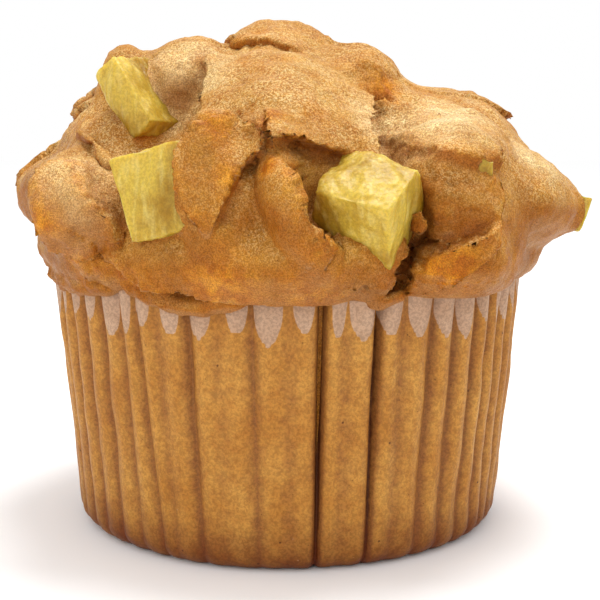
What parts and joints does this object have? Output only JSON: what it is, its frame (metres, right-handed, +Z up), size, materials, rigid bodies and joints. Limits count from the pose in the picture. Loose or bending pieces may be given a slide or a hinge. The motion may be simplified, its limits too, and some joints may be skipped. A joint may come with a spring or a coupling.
{
  "type": "muffin",
  "caption": "Baked muffin with a split, overhanging crown and apple dice, standing in a fluted paper baking case.",
  "frame": {"origin": "middle of the paper case's flat foot, on the surface the muffin stands on", "axes": "+Z up through the crown; -Y is the front, where the crown has torn open most; +X is to the right seen from the front"},
  "size_m": [0.0674, 0.0659, 0.0594],
  "materials": {
    "crust": "matte",
    "case_paper": "satin",
    "apple": "satin"
  },
  "bodies": {
    "root": {"crumb": "crust", "paper_case": "case_paper", "apple_dice_upper_left": "apple", "apple_dice_left": "apple", "apple_dice_front": "apple", "apple_dice_right": "apple", "apple_dice_under_skin": "apple", "apple_dice_back_right": "apple", "apple_dice_back": "apple", "apple_dice_back_left": "apple"}
  },
  "joints": []
}
